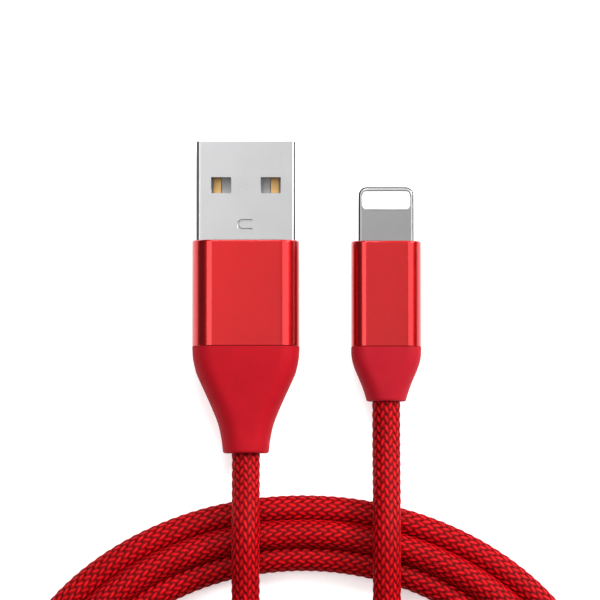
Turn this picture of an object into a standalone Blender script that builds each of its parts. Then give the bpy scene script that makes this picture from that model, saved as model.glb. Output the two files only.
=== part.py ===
"""A charging cable: a USB type A plug and an eight-contact phone plug on one braided cord.

It lies on a flat surface with both plugs pointing along +Y and its spare length in an oval
coil behind them. Metres, +Z up. The origin is on the surface, under the middle of the box
round both plugs.
"""

import math

import bmesh
import bpy
from mathutils import Vector

MM = 0.001

FIT = 0.1 * MM  # round pieces that are pressed or moulded together

# Cord
CORD_R = 1.65 * MM
BORE_R = CORD_R + FIT

# USB plug, across (X), along (Y) and up (Z)
SHELL_W, SHELL_H = 12.0 * MM, 4.5 * MM
SHELL_OUT = 12.0 * MM  # what stands out of the housing
SHELL_IN = 3.5 * MM  # what the housing holds
SHELL_WALL = 0.3 * MM
SHELL_R = 0.65 * MM
WINDOW_W, WINDOW_L = 2.4 * MM, 1.9 * MM
WINDOW_X, WINDOW_FROM_TIP = 3.0 * MM, 5.35 * MM
SOCKET_DEPTH = 9.0 * MM  # the hollow above the tongue
USB_CONTACT_X = (-3.5 * MM, -1.0 * MM, 1.0 * MM, 3.5 * MM)
USB_W, USB_H, USB_L = 13.0 * MM, 7.0 * MM, 12.8 * MM  # housing
USB_R = 2.5 * MM

# Phone plug
TAB_W, TAB_H = 6.7 * MM, 1.5 * MM
TAB_OUT = 6.65 * MM
TAB_IN = 3.0 * MM
TAB_TIP_R = 1.0 * MM
INSERT_W, INSERT_L = 5.7 * MM, 2.16 * MM
INSERT_FROM_TIP = 1.65 * MM  # the insert's middle
PHONE_CONTACTS = 8
PHONE_CONTACT_PITCH = 0.66 * MM
PHONE_W, PHONE_H, PHONE_L = 8.5 * MM, 5.2 * MM, 12.8 * MM  # housing
PHONE_R = 1.9 * MM

BOARD_H = 0.5 * MM
SOLDER_GAP = 0.05 * MM  # between the board and what is soldered on it

# Both housings
FRONT_WALL = 1.0 * MM
RIM = 0.25 * MM
BOOT_INSERT = 1.8 * MM  # how far a boot reaches into its housing
USB_CORD_FRONT, PHONE_CORD_FRONT = 8.8 * MM, 9.4 * MM  # the shoulder to the cord's end
CRIMP_BACK = 0.3 * MM  # the cord's end to its crimp

# Boots: (distance behind the housing, width, height)
USB_BOOT = (
    (0.0, 13.0, 7.0),
    (1.5, 12.8, 6.9),
    (2.7, 12.3, 6.75),
    (3.5, 11.8, 6.6),
    (9.3, 6.65, 5.6),
    (12.6, 5.4, 5.3),
    (12.9, 5.0, 4.9),
)
PHONE_BOOT = (
    (0.0, 8.5, 5.2),
    (1.2, 8.4, 5.2),
    (2.5, 7.75, 5.15),
    (4.8, 5.85, 5.0),
    (6.3, 4.9, 4.8),
    (6.6, 4.6, 4.5),
)

# Layout: the plugs side by side, in the middle of the frame
PLUG_SPACING = 17.0 * MM
USB_X = (USB_W - PHONE_W) / 4 - PLUG_SPACING / 2
PHONE_X = USB_X + PLUG_SPACING
SHOULDER_Y = (USB_L + USB_BOOT[-1][0] * MM - SHELL_OUT) / 2
USB_Z, PHONE_Z = USB_H / 2, PHONE_H / 2
USB_TIP_Y = SHOULDER_Y + SHELL_OUT
PHONE_TIP_Y = SHOULDER_Y + TAB_OUT
USB_BOOT_Y = SHOULDER_Y - USB_L
PHONE_BOOT_Y = SHOULDER_Y - PHONE_L
USB_CORD_Y = USB_BOOT_Y - USB_BOOT[-1][0] * MM
PHONE_CORD_Y = PHONE_BOOT_Y - PHONE_BOOT[-1][0] * MM

# Coil: an oval spiral of five turns. Turn 0 is the top of the outermost turn, and -1 to -4
# are the tops of those inside it. Each pair is a turn and how far it lies inside turn 0.
COIL_X, COIL_Y = 0.2 * MM, -54.93 * MM
COIL_A, COIL_B = 36.35 * MM, 29.35 * MM  # half width and half height at turn 0
SIDE_INSETS = ((0, 0.0), (-1, 3.05), (-2, 6.0), (-2.25, 6.85), (-3, 13.2), (-4, 17.0))
END_INSETS = (
    (0.5, -1.9),
    (0, 0.0),
    (-0.5, 1.4),
    (-1, 2.95),
    (-1.5, 4.6),
    (-2, 5.8),
    (-2.5, 7.9),
    (-3, 9.4),
    (-3.5, 11.3),
    (-4, 12.7),
    (-4.5, 14.6),
)
INNER_DROP = 3.75 * MM  # the two inner turns' tops lie this much lower
SIDE_PINCH = 1.6 * MM  # the outer turns' sides and bottoms are this much narrower
BOTTOM_LIFT = 1.5 * MM  # every turn's lower half is this much flatter
COIL_SECTIONS = 72
LANE_TOP = 2 * CORD_R
CREST_TOP = 4.6 * MM  # the second turn rides on its neighbours
CROSSING_TOP = 4 * CORD_R  # where the cord leaves the coil over the other turns
CROSSING_FROM, CROSSING_TO = 252, 312  # degrees round the coil

# The cord's two leads in millimetres, from each boot to the coil's inner wall. They keep
# 0.3 mm from the boots and the coil.
USB_LEAD = (
    (-7.375, -19.15, 3.5),
    (-7.375, -21.5, 3.75),
    (-7.375, -24.0, 4.8),
    (-7.375, -26.2, 5.8),
    (-7.375, -29.3, 6.65),
    (-7.375, -32.6, 6.1),
    (-7.375, -36.0, 5.5),
    (-7.375, -39.6, 5.4),
    (-7.375, -43.2, 5.3),
    (-7.375, -46.8, 4.4),
    (-7.375, -50.5, 2.9),
    (-7.375, -54.2, 1.8),
    (-7.3, -57.5, 1.65),
    (-6.7, -60.8, 1.65),
    (-4.9, -63.8, 1.65),
)
PHONE_LEAD = (
    (9.625, -12.85, 2.6),
    (9.625, -16.0, 2.65),
    (9.625, -20.0, 3.4),
    (9.625, -23.6, 4.8),
    (9.625, -26.6, 5.9),
    (9.625, -29.8, 6.65),
    (9.625, -33.2, 6.1),
    (9.625, -36.5, 5.5),
    (9.625, -39.9, 5.4),
    (9.625, -43.6, 5.3),
    (9.625, -47.2, 4.5),
    (9.625, -51.2, 3.3),
    (9.625, -55.2, 2.8),
    (9.625, -58.8, 3.1),
    (9.625, -62.3, 4.0),
)
LEAD_STEPS = 2  # tube points per stretch of route

MATERIALS = {  # colour, metallic, roughness
    "nickel_steel": ((0.72, 0.72, 0.72), 1.0, 0.3),
    "crimp_steel": ((0.6, 0.6, 0.6), 1.0, 0.4),
    "contact_gold": ((0.83, 0.6, 0.26), 1.0, 0.3),
    "insulator_grey": ((0.5, 0.5, 0.5), 0.0, 0.5),
    "insert_white": ((0.92, 0.92, 0.92), 0.0, 0.35),
    "mould_white": ((0.85, 0.85, 0.82), 0.0, 0.5),
    "housing_red": ((0.7, 0.03, 0.04), 1.0, 0.35),
    "boot_red": ((0.55, 0.01, 0.02), 0.0, 0.6),
    "braid_red": ((0.6, 0.01, 0.02), 0.0, 0.7),
    "board_green": ((0.02, 0.2, 0.08), 0.0, 0.4),
    "chip_black": ((0.02, 0.02, 0.02), 0.0, 0.4),
    "capacitor_tan": ((0.45, 0.3, 0.18), 0.0, 0.4),
    "wire_red": ((0.6, 0.02, 0.02), 0.0, 0.4),
    "wire_white": ((0.85, 0.85, 0.85), 0.0, 0.4),
    "wire_green": ((0.02, 0.35, 0.08), 0.0, 0.4),
    "wire_black": ((0.03, 0.03, 0.03), 0.0, 0.4),
}
WIRE_MATERIALS = ("wire_red", "wire_white", "wire_green", "wire_black")


def clear_scene():
    for obj in list(bpy.data.objects):
        bpy.data.objects.remove(obj, do_unlink=True)


def make_collection(name):
    collection = bpy.data.collections.new(name)
    bpy.context.scene.collection.children.link(collection)
    return collection


def material(name):
    made = bpy.data.materials.get(name)
    if made is None:
        colour, metallic, roughness = MATERIALS[name]
        made = bpy.data.materials.new(name)
        made.use_nodes = True
        shader = made.node_tree.nodes["Principled BSDF"]
        shader.inputs["Base Color"].default_value = (*colour, 1.0)
        shader.inputs["Metallic"].default_value = metallic
        shader.inputs["Roughness"].default_value = roughness
    return made


def add_object(name, data, material_name, centre=(0, 0, 0)):
    """A named part at its centre, or a cutter when it has no material."""
    obj = bpy.data.objects.new(name, data)
    obj.location = centre
    if material_name is None:
        cutters.objects.link(obj)
        obj.hide_render = True
        obj.display_type = "WIRE"
    else:
        parts.objects.link(obj)
        data.materials.append(material(material_name))
    return obj


def mesh_from(name, bm):
    bmesh.ops.recalc_face_normals(bm, faces=bm.faces)
    mesh = bpy.data.meshes.new(name)
    bm.to_mesh(mesh)
    bm.free()
    mesh.shade_smooth()
    mesh.set_sharp_from_angle(angle=math.radians(35))
    return mesh


def edges_along(bm, axis):
    return [
        edge
        for edge in bm.edges
        if abs((edge.verts[0].co - edge.verts[1].co).normalized()[axis]) > 0.9
    ]


def rim_edges(bm, half_length):
    """The edges round both ends of a piece that runs along Y."""
    return [
        edge
        for edge in bm.edges
        if all(abs(abs(vert.co.y) - half_length) < 0.01 * MM for vert in edge.verts)
    ]


def block(name, material_name, centre, size, corner=0.0, rim=0.0, corner_axis=1):
    """A box with rounded edges along one axis, and rims eased round its two ends along Y."""
    bm = bmesh.new()
    bmesh.ops.create_cube(bm, size=1.0)
    bmesh.ops.scale(bm, vec=size, verts=bm.verts)
    if corner:
        bmesh.ops.bevel(
            bm,
            geom=edges_along(bm, corner_axis),
            offset=corner,
            segments=5,
            profile=0.5,
            affect="EDGES",
        )
    if rim:
        bmesh.ops.bevel(
            bm,
            geom=rim_edges(bm, size[1] / 2),
            offset=rim,
            segments=2,
            profile=0.5,
            affect="EDGES",
        )
    return add_object(name, mesh_from(name, bm), material_name, centre)


def rod(name, material_name, centre, radius, length):
    """A round bar along Y."""
    bm = bmesh.new()
    bmesh.ops.create_cone(
        bm, cap_ends=True, segments=24, radius1=radius, radius2=radius, depth=length
    )
    obj = add_object(name, mesh_from(name, bm), material_name, centre)
    obj.rotation_euler = (math.pi / 2, 0, 0)
    return obj


def wire(name, material_name, points, radius):
    """A round tube with closed ends through a list of points."""
    curve = bpy.data.curves.new(name, "CURVE")
    curve.dimensions = "3D"
    curve.bevel_depth = radius
    curve.bevel_resolution = 2
    curve.use_fill_caps = True
    spline = curve.splines.new("POLY")
    spline.points.add(len(points) - 1)
    for spot, point in zip(spline.points, points):
        spot.co = (*point, 1.0)
    return add_object(name, curve, material_name)


def cut(target, cutter):
    modifier = target.modifiers.new(cutter.name, "BOOLEAN")
    modifier.operation = "DIFFERENCE"
    modifier.solver = "EXACT"
    modifier.object = cutter


def cut_block(target, label, centre, size, corner=0.0, corner_axis=1):
    name = f"cut_{target.name}_{label}"
    cut(target, block(name, None, centre, size, corner, 0.0, corner_axis))


def cut_rod(target, label, centre, radius, length):
    cut(target, rod(f"cut_{target.name}_{label}", None, centre, radius, length))


def section(centre_x, y, centre_z, width, height, radius, steps=5):
    """A rounded rectangle across Y, as a loop of points."""
    points = []
    for corner, (side_x, side_z) in enumerate(((1, 1), (-1, 1), (-1, -1), (1, -1))):
        middle_x = centre_x + side_x * (width / 2 - radius)
        middle_z = centre_z + side_z * (height / 2 - radius)
        for step in range(steps + 1):
            angle = math.pi / 2 * (corner + step / steps)
            across = radius * math.cos(angle)
            up = radius * math.sin(angle)
            points.append(Vector((middle_x + across, y, middle_z + up)))
    return points


def loft(name, material_name, loops):
    """A closed skin through loops of points, with the last joined to the first."""
    bm = bmesh.new()
    rings = [[bm.verts.new(point) for point in loop] for loop in loops]
    for index, ring in enumerate(rings):
        following = rings[(index + 1) % len(rings)]
        for side in range(len(ring)):
            after = (side + 1) % len(ring)
            bm.faces.new((ring[side], ring[after], following[after], following[side]))
    return add_object(name, mesh_from(name, bm), material_name)


def boot(name, centre_x, centre_z, start_y, profile, insert_w, insert_h):
    """A tapered sleeve on the cord, whose front part sits inside the housing."""
    insert_r = min(insert_w, insert_h) / 2 * 0.65
    front_y = start_y + BOOT_INSERT
    step_y = start_y - FIT
    loops = []
    for y in (front_y, step_y):
        loops.append(section(centre_x, y, centre_z, insert_w, insert_h, insert_r))
    for distance, width, height in profile:
        width *= MM
        height *= MM
        roundness = 0.36 + 0.13 * distance / profile[-1][0]
        y = start_y - max(distance * MM, FIT)
        radius = min(width, height) * roundness
        loops.append(section(centre_x, y, centre_z, width, height, radius))
    end_y = start_y - profile[-1][0] * MM
    for y in (end_y, front_y):
        tight = BORE_R * 0.999
        loops.append(section(centre_x, y, centre_z, 2 * BORE_R, 2 * BORE_R, tight))
    return loft(name, "boot_red", loops)


def cord_end(name, centre_x, centre_z, back_y, front_y):
    """The cord's own end, from the boot's mouth to the crimp."""
    middle = (centre_x, (back_y + front_y) / 2, centre_z)
    return rod(name, "braid_red", middle, CORD_R, front_y - back_y)


def crimp(name, centre_x, centre_z, front_y, outer_r, length):
    """A steel ring squeezed on the cord's end."""
    middle = (centre_x, front_y - length / 2, centre_z)
    ring = rod(name, "crimp_steel", middle, outer_r, length)
    cut_rod(ring, "bore", middle, BORE_R, 2 * length)
    return ring


# USB plug


def make_usb_shell():
    length = SHELL_OUT + SHELL_IN
    centre = (USB_X, USB_TIP_Y - length / 2, USB_Z)
    shell = block("usb_shell", "nickel_steel", centre, (SHELL_W, length, SHELL_H), SHELL_R)
    inside = (SHELL_W - 2 * SHELL_WALL, 2 * length, SHELL_H - 2 * SHELL_WALL)
    cut_block(shell, "inside", centre, inside, SHELL_R - SHELL_WALL)
    for label, side in (("left", -1), ("right", 1)):
        spot = (USB_X + side * WINDOW_X, USB_TIP_Y - WINDOW_FROM_TIP, USB_Z)
        cut_block(shell, f"window_{label}", spot, (WINDOW_W, WINDOW_L, 2 * SHELL_H))


def make_usb_insulator_and_contacts():
    inner_h = SHELL_H - 2 * SHELL_WALL
    width = SHELL_W - 2 * SHELL_WALL - 2 * FIT
    height = inner_h - 2 * FIT
    front_y = USB_TIP_Y - 0.4 * MM
    back_y = SHOULDER_Y - SHELL_IN + 0.2 * MM
    centre = (USB_X, (front_y + back_y) / 2, USB_Z)
    size = (width, front_y - back_y, height)
    insulator = block("usb_insulator", "insulator_grey", centre, size)
    gap_back_y = USB_TIP_Y - SOCKET_DEPTH
    hollow = (USB_X, gap_back_y + SOCKET_DEPTH / 2, USB_Z + height / 2)
    cut_block(insulator, "socket", hollow, (2 * width, SOCKET_DEPTH, height))

    strip_w, strip_h = 1.0 * MM, 0.2 * MM
    tail_y = back_y - 0.9 * MM
    strip_z = USB_Z - strip_h / 2
    for number, across in enumerate(USB_CONTACT_X, 1):
        outer = abs(across) > 2 * MM
        tip_y = USB_TIP_Y - (1.4 * MM if outer else 2.4 * MM)
        middle = (USB_X + across, (tip_y + tail_y) / 2, strip_z)
        length = tip_y - tail_y
        block(f"usb_contact_{number}", "contact_gold", middle, (strip_w, length, strip_h))
        groove = (strip_w + 2 * FIT, length + 2 * FIT, strip_h + 2 * FIT)
        cut_block(insulator, f"groove_{number}", middle, groove)
    return tail_y


def make_usb_mould():
    """The plastic moulded round the joints, with a chamber for the wires."""
    front_y = SHOULDER_Y - FRONT_WALL - FIT
    back_y = USB_BOOT_Y + BOOT_INSERT + FIT
    centre = (USB_X, (front_y + back_y) / 2, USB_Z)
    size = (USB_W - 1.1 * MM, front_y - back_y, USB_H - 1.5 * MM)
    mould = block("usb_inner_mould", "mould_white", centre, size, 2.0 * MM)
    pocket_y = SHOULDER_Y - SHELL_IN - FIT
    pocket = (USB_X, pocket_y + 5 * MM, USB_Z)
    pocket_size = (SHELL_W + 2 * FIT, 10 * MM, SHELL_H + 2 * FIT)
    cut_block(mould, "shell", pocket, pocket_size, SHELL_R)
    cut_block(mould, "wires", centre, (9.6 * MM, 3 * USB_L, 4.6 * MM), 1.5 * MM)


def make_usb_housing():
    centre = (USB_X, SHOULDER_Y - USB_L / 2, USB_Z)
    housing = block("usb_housing", "housing_red", centre, (USB_W, USB_L, USB_H), USB_R, RIM)
    mouth = (SHELL_W + 2 * FIT, 3 * USB_L, SHELL_H + 2 * FIT)
    cut_block(housing, "mouth", centre, mouth, SHELL_R + FIT)
    cavity = (USB_X, SHOULDER_Y - FRONT_WALL - USB_L, USB_Z)
    cavity_size = (USB_W - 0.8 * MM, 2 * USB_L, USB_H - 1.3 * MM)
    cut_block(housing, "cavity", cavity, cavity_size, USB_R - 0.4 * MM)


def wire_route(start, end):
    """A soft S from one point to another, both ends running along Y."""
    points = []
    for step in range(7):
        share = step / 6
        eased = share * share * (3 - 2 * share)
        x = start[0] + (end[0] - start[0]) * eased
        y = start[1] + (end[1] - start[1]) * share
        z = start[2] + (end[2] - start[2]) * eased
        points.append((x, y, z))
    return points


def make_wires(prefix, starts, centre_x, centre_z, end_y, radius, spread):
    ends = ((-1, -1), (-1, 1), (1, 1), (1, -1))
    names = ("power", "data_minus", "data_plus", "ground")
    rows = zip(names, WIRE_MATERIALS, starts, ends)
    for name, material_name, start, (side_x, side_z) in rows:
        end = (centre_x + side_x * spread, end_y, centre_z + side_z * spread)
        wire(f"{prefix}_wire_{name}", material_name, wire_route(start, end), radius)


def make_usb_plug():
    make_usb_shell()
    tail_y = make_usb_insulator_and_contacts()
    make_usb_mould()
    make_usb_housing()
    insert_w, insert_h = USB_W - 1.1 * MM, USB_H - 1.6 * MM
    boot("usb_boot", USB_X, USB_Z, USB_BOOT_Y, USB_BOOT, insert_w, insert_h)
    cord_front_y = SHOULDER_Y - USB_CORD_FRONT
    cord_end("usb_cord_end", USB_X, USB_Z, USB_CORD_Y, cord_front_y)
    crimp("usb_crimp", USB_X, USB_Z, cord_front_y - CRIMP_BACK, 2.15 * MM, 1.4 * MM)
    starts = [(USB_X + across, tail_y - FIT, USB_Z) for across in USB_CONTACT_X]
    make_wires("usb", starts, USB_X, USB_Z, cord_front_y + FIT, 0.45 * MM, 0.6 * MM)


# Phone plug


def make_tab_frame():
    length = TAB_OUT + TAB_IN
    bm = bmesh.new()
    bmesh.ops.create_cube(bm, size=1.0)
    bmesh.ops.scale(bm, vec=(TAB_W, length, TAB_H), verts=bm.verts)
    tip = [edge for edge in edges_along(bm, 2) if edge.verts[0].co.y > 0]
    bmesh.ops.bevel(
        bm, geom=tip, offset=TAB_TIP_R, segments=5, profile=0.5, affect="EDGES"
    )
    long_edges = [
        edge
        for edge in bm.edges
        if abs(edge.verts[0].co.z - edge.verts[1].co.z) < 0.01 * MM
        and max(vert.co.y for vert in edge.verts) > 0.01 * MM - length / 2
    ]
    bmesh.ops.bevel(
        bm, geom=long_edges, offset=0.3 * MM, segments=2, profile=0.5, affect="EDGES"
    )
    centre = (PHONE_X, PHONE_TIP_Y - length / 2, PHONE_Z)
    name = "phone_tab_frame"
    frame = add_object(name, mesh_from(name, bm), "nickel_steel", centre)
    window = (PHONE_X, PHONE_TIP_Y - INSERT_FROM_TIP, PHONE_Z)
    window_size = (INSERT_W + 2 * FIT, INSERT_L + 2 * FIT, 2 * TAB_H)
    cut_block(frame, "window", window, window_size, 0.5 * MM, 2)
    slot = (PHONE_X, window[1] - length / 2, PHONE_Z)
    cut_block(frame, "slot", slot, (5.0 * MM, length, 0.7 * MM))


def make_insert_and_contacts():
    centre = (PHONE_X, PHONE_TIP_Y - INSERT_FROM_TIP, PHONE_Z)
    size = (INSERT_W, INSERT_L, TAB_H)
    name = "phone_contact_insert"
    insert = block(name, "insert_white", centre, size, 0.4 * MM, 0.0, 2)
    pad = (0.4 * MM, 1.5 * MM, 0.15 * MM)
    recess = (pad[0] + FIT, pad[1] + FIT, 0.4 * MM)
    pad_z = PHONE_Z - TAB_H / 2 + pad[2] / 2
    for number in range(1, PHONE_CONTACTS + 1):
        x = PHONE_X + (number - (PHONE_CONTACTS + 1) / 2) * PHONE_CONTACT_PITCH
        spot = (x, centre[1], pad_z)
        block(f"phone_contact_{number}", "contact_gold", spot, pad)
        cut_block(insert, f"recess_{number}", (x, centre[1], PHONE_Z - TAB_H / 2), recess)


def make_board():
    """A T-shaped board whose tongue runs into the tab frame's slot."""
    front_y = PHONE_TIP_Y - INSERT_FROM_TIP - INSERT_L / 2 - 0.3 * MM
    shoulder_y = SHOULDER_Y - 3.3 * MM
    back_y = SHOULDER_Y - 8.3 * MM
    tongue, body = 2.4 * MM, 3.2 * MM
    half = [(tongue, front_y), (tongue, shoulder_y), (body, shoulder_y), (body, back_y)]
    outline = half + [(-x, y) for x, y in reversed(half)]
    curve = bpy.data.curves.new("phone_board", "CURVE")
    curve.dimensions = "2D"
    curve.fill_mode = "BOTH"
    curve.extrude = BOARD_H / 2
    spline = curve.splines.new("POLY")
    spline.points.add(len(outline) - 1)
    for spot, (x, y) in zip(spline.points, outline):
        spot.co = (x, y, 0.0, 1.0)
    spline.use_cyclic_u = True
    add_object("phone_board", curve, "board_green", (PHONE_X, 0, PHONE_Z))

    board_top = PHONE_Z + BOARD_H / 2
    chip_size = (2.4 * MM, 2.2 * MM, 0.6 * MM)
    chip_z = board_top + SOLDER_GAP + chip_size[2] / 2
    chip_y = SHOULDER_Y - 5.3 * MM
    block("phone_chip", "chip_black", (PHONE_X, chip_y, chip_z), chip_size)
    small = (0.5 * MM, 1.0 * MM, 0.5 * MM)
    for number, side in ((1, -1), (2, 1)):
        spot = (PHONE_X + side * 2.2 * MM, chip_y, board_top + SOLDER_GAP + small[2] / 2)
        block(f"phone_capacitor_{number}", "capacitor_tan", spot, small)


def make_shield_can():
    """A thin steel lid over the board, open underneath."""
    wall = 0.15 * MM
    size = (6.4 * MM, 3.9 * MM, 1.35 * MM)
    centre = (PHONE_X, SHOULDER_Y - 5.3 * MM, PHONE_Z + 0.3 * MM + size[2] / 2)
    can = block("phone_shield_can", "crimp_steel", centre, size)
    inside = (size[0] - 2 * wall, size[1] - 2 * wall, size[2])
    hollow = (centre[0], centre[1], centre[2] - wall)
    cut_block(can, "inside", hollow, inside)


def make_phone_mould():
    """The plastic cradle under the board, with a channel for the cord's end."""
    front_y = SHOULDER_Y - TAB_IN - 3 * FIT
    back_y = PHONE_BOOT_Y + BOOT_INSERT + FIT
    centre = (PHONE_X, (front_y + back_y) / 2, PHONE_Z)
    size = (PHONE_W - 1.2 * MM, front_y - back_y, PHONE_H - 1.2 * MM)
    mould = block("phone_inner_mould", "mould_white", centre, size, 1.3 * MM)
    top = (PHONE_X, centre[1], PHONE_Z - 0.35 * MM + PHONE_H / 2)
    cut_block(mould, "top", top, (PHONE_W, PHONE_L, PHONE_H))
    back_length = 2 * (SHOULDER_Y - 8.8 * MM - back_y)
    cut_rod(mould, "cord", (PHONE_X, back_y, PHONE_Z), 2.1 * MM, back_length)


def make_phone_housing():
    centre = (PHONE_X, SHOULDER_Y - PHONE_L / 2, PHONE_Z)
    size = (PHONE_W, PHONE_L, PHONE_H)
    housing = block("phone_housing", "housing_red", centre, size, PHONE_R, RIM)
    mouth = (TAB_W + 2 * FIT, 3 * PHONE_L, TAB_H + 2 * FIT)
    cut_block(housing, "mouth", centre, mouth, 0.3 * MM)
    cavity = (PHONE_X, SHOULDER_Y - FRONT_WALL - PHONE_L, PHONE_Z)
    cavity_size = (PHONE_W - 1.0 * MM, 2 * PHONE_L, PHONE_H - 1.0 * MM)
    cut_block(housing, "cavity", cavity, cavity_size, PHONE_R - 0.5 * MM)


def make_phone_plug():
    make_tab_frame()
    make_insert_and_contacts()
    make_board()
    make_shield_can()
    make_phone_mould()
    make_phone_housing()
    insert_w, insert_h = PHONE_W - 1.2 * MM, PHONE_H - 1.2 * MM
    boot("phone_boot", PHONE_X, PHONE_Z, PHONE_BOOT_Y, PHONE_BOOT, insert_w, insert_h)
    cord_front_y = SHOULDER_Y - PHONE_CORD_FRONT
    cord_end("phone_cord_end", PHONE_X, PHONE_Z, PHONE_CORD_Y, cord_front_y)
    crimp("phone_crimp", PHONE_X, PHONE_Z, cord_front_y - CRIMP_BACK, 2.0 * MM, 1.0 * MM)
    wire_r = 0.3 * MM
    start_y = SHOULDER_Y - 7.6 * MM
    start_z = PHONE_Z + BOARD_H / 2 + SOLDER_GAP + wire_r
    starts = [(PHONE_X + across * MM, start_y, start_z) for across in (-2.4, -0.8, 0.8, 2.4)]
    end_y = cord_front_y + FIT
    make_wires("phone", starts, PHONE_X, PHONE_Z + 1.0 * MM, end_y, wire_r, 0.35 * MM)


# Cord


def smooth_route(points, steps):
    """Points on a smooth curve through a list of points, by Catmull and Rom's rule."""
    spots = [Vector(point) * MM for point in points]
    spots = [2 * spots[0] - spots[1]] + spots + [2 * spots[-1] - spots[-2]]
    route = []
    for before, start, end, after in zip(spots, spots[1:], spots[2:], spots[3:]):
        for step in range(steps):
            t = step / steps
            route.append(
                0.5
                * (
                    2 * start
                    + (end - before) * t
                    + (2 * before - 5 * start + 4 * end - after) * t**2
                    + (3 * start - before - 3 * end + after) * t**3
                )
            )
    route.append(spots[-2])
    return route


def inset_at(insets, turn):
    """How far a turn lies inside turn 0, read along a list of (turn, inset) pairs."""
    for (turn_a, inset_a), (turn_b, inset_b) in zip(insets, insets[1:]):
        if turn >= turn_b or turn_b == insets[-1][0]:
            share = (turn - turn_a) / (turn_b - turn_a)
            return (inset_a + (inset_b - inset_a) * share) * MM


def ease(value, start, end):
    """From 0 at start to 1 at end, with no corner at either."""
    share = min(max((value - start) / (end - start), 0.0), 1.0)
    return share * share * (3 - 2 * share)


def lane(turn, outward=0.0):
    """Where the coil's cord lies at a turn, from above, moved outward by a distance."""
    angle = math.radians(90 + 360 * turn)
    across, up = math.cos(angle), math.sin(angle)
    half_width = COIL_A - inset_at(SIDE_INSETS, turn) + outward
    half_height = COIL_B - inset_at(END_INSETS, turn) + outward
    half_width -= SIDE_PINCH * ease(-up, -0.62, 0.1) * (1 - ease(-turn, 2.25, 3.0))
    if up < 0:
        half_height -= BOTTOM_LIFT
    elif turn < -2.5:
        half_height -= INNER_DROP
    return COIL_X + half_width * across, COIL_Y + half_height * up


def make_coil():
    """The coil's outer shape: a ring with a crest on the second turn, and a raised block
    where the cord leaves over the other turns."""
    loops = []
    for index in range(COIL_SECTIONS):
        turn = -0.5 + index / COIL_SECTIONS
        degrees = (90 + 360 * turn) % 360
        crossing = CROSSING_FROM < degrees < CROSSING_TO
        corners = (
            (lane(turn, CORD_R), 0.0),
            (lane(turn, CORD_R), 0.75 * LANE_TOP),
            (lane(turn, 0.5 * CORD_R), LANE_TOP),
            (lane(turn - 1, 0.4 * CORD_R), CREST_TOP),
            (lane(turn - 1, -0.4 * CORD_R), CREST_TOP),
            (lane(turn - 2, -0.5 * CORD_R), LANE_TOP),
            (lane(turn - 4, -CORD_R), LANE_TOP),
            (lane(turn - 4, -CORD_R), 0.0),
        )
        loop = []
        for (x, y), z in corners:
            if crossing and z > 0:
                z = CROSSING_TOP
            loop.append(Vector((x, y, z)))
        loops.append(loop)
    loft("cord_coil", "braid_red", loops)


def make_cord():
    for name, route in (("cord_usb_lead", USB_LEAD), ("cord_phone_lead", PHONE_LEAD)):
        wire(name, "braid_red", smooth_route(route, LEAD_STEPS), CORD_R)
    make_coil()


clear_scene()
parts = make_collection("charging_cable")
cutters = make_collection("cutters")
make_usb_plug()
make_phone_plug()
make_cord()
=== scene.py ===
"""The looks of the charging cable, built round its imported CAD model. Metres, +Z up."""

import math
from typing import NamedTuple

import bmesh
import bpy
import numpy as np
from mathutils import Euler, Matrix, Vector


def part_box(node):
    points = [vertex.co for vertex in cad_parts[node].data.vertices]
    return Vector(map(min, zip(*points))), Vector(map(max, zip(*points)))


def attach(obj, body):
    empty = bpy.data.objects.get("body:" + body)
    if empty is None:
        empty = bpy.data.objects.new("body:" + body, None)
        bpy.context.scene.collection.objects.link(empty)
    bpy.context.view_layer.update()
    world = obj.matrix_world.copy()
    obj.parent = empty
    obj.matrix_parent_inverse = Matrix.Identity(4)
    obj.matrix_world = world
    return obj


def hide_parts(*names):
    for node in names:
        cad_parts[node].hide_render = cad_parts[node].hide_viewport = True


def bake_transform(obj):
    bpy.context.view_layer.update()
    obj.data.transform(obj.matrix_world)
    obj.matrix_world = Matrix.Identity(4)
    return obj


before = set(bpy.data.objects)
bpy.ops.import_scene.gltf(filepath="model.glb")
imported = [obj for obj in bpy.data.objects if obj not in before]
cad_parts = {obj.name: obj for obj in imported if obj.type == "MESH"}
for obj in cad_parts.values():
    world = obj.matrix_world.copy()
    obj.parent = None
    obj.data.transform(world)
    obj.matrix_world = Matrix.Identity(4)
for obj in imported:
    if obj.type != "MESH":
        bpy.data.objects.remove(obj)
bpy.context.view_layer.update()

MM = 0.001


# Plugs, as the frame has them


def corners(node):
    """A CAD node's lowest and highest corners, to a thousandth of a millimetre."""
    return [np.round(corner, 6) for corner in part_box(node)]


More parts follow.
